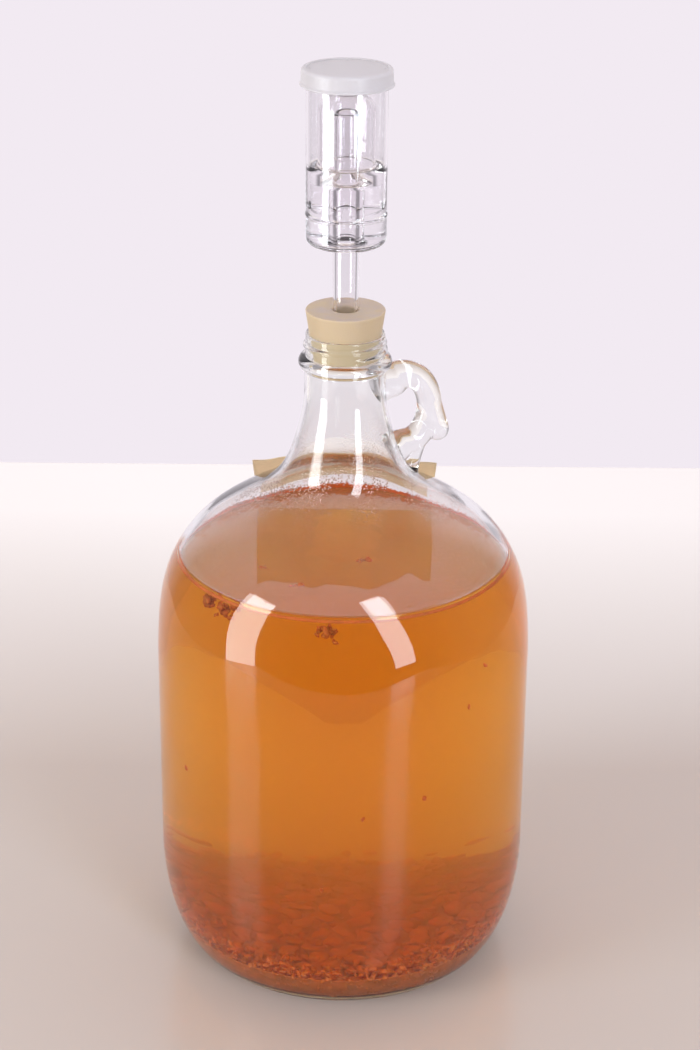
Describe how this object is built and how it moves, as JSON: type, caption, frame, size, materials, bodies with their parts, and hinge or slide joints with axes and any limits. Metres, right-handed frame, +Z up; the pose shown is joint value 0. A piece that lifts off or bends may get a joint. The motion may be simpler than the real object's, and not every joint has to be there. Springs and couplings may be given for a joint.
{
  "type": "fermentation jug",
  "caption": "Narrow-necked glass fermentation jug with a finger ring, closed by a drilled rubber stopper that carries a floating-bell airlock, with brew and fruit pulp inside.",
  "frame": {"origin": "centre of the jug's base, on the surface that it stands on", "axes": "+Z up along the jug's axis, +Y towards the labels on the back, +X to the right as seen from the front; the finger ring is on that side, turned 22 degrees towards the back"},
  "size_m": [0.1686, 0.1692, 0.4142],
  "materials": {
    "jug_glass": "gloss",
    "tan_rubber": "matte",
    "clear_polystyrene": "gloss",
    "milky_polyethylene": "satin",
    "airlock_water": "gloss",
    "amber_brew": "gloss",
    "fruit_pulp": "satin",
    "kraft_paper": "matte"
  },
  "bodies": {
    "jug": {"glass_jug": "jug_glass", "brew": "amber_brew", "pulp_bed": "fruit_pulp", "pulp_flakes": "fruit_pulp", "floating_clumps": "fruit_pulp", "drifting_specks": "fruit_pulp", "shoulder_label": "kraft_paper", "body_label": "kraft_paper"},
    "stopper": {"rubber_stopper": "tan_rubber"},
    "airlock": {"airlock_body": "clear_polystyrene", "airlock_water": "airlock_water"},
    "float": {"airlock_float": "clear_polystyrene"},
    "cap": {"airlock_cap": "milky_polyethylene"}
  },
  "joints": [
    {"name": "stopper_lift", "type": "slide", "parent": "jug", "child": "stopper", "axis": [0, 0, 1], "range_m": [0, 0.04]},
    {"name": "airlock_pull", "type": "slide", "parent": "stopper", "child": "airlock", "axis": [0, 0, 1], "range_m": [0, 0.03]},
    {"name": "float_ride", "type": "slide", "parent": "airlock", "child": "float", "axis": [0, 0, 1], "range_m": [-0.0059, 0.0086]},
    {"name": "cap_lift", "type": "slide", "parent": "airlock", "child": "cap", "axis": [0, 0, 1], "range_m": [0, 0.02]}
  ]
}
